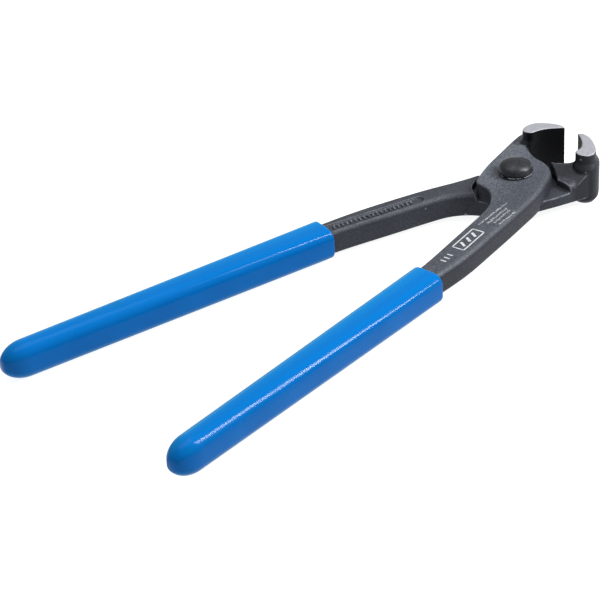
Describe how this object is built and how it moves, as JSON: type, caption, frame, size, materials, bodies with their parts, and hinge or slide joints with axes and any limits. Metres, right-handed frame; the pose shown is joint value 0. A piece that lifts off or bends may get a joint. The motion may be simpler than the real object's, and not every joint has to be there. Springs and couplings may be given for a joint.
{
  "type": "end-cutting nippers",
  "caption": "Hand nippers with crossed forged levers, claw-shaped end-cutting jaws, a riveted lap joint and dipped plastic grips.",
  "frame": {"origin": "on the pivot axis, on the lap plane where the two levers meet", "axes": "+X from the pivot to the jaws, +Z along the pivot axis to the upper lever's face, upper lever's grip at -Y"},
  "size_m": [0.2515, 0.1038, 0.0218],
  "materials": {
    "forged_steel": "black phosphated forging, matte and slightly grainy, with bare ground jaw ends",
    "rivet_steel": "black phosphated steel, satin",
    "grip_plastic": "glossy dipped vinyl, blue"
  },
  "bodies": {
    "lower": {"lower_lever": "forged_steel", "lower_grip": "grip_plastic", "pivot_rivet": "rivet_steel"},
    "upper": {"upper_lever": "forged_steel", "upper_grip": "grip_plastic"}
  },
  "joints": [
    {"name": "pivot", "type": "hinge", "parent": "lower", "child": "upper", "pos_m": [0, 0, 0], "axis": [0, 0, 1], "range_deg": [-11, 26]}
  ]
}
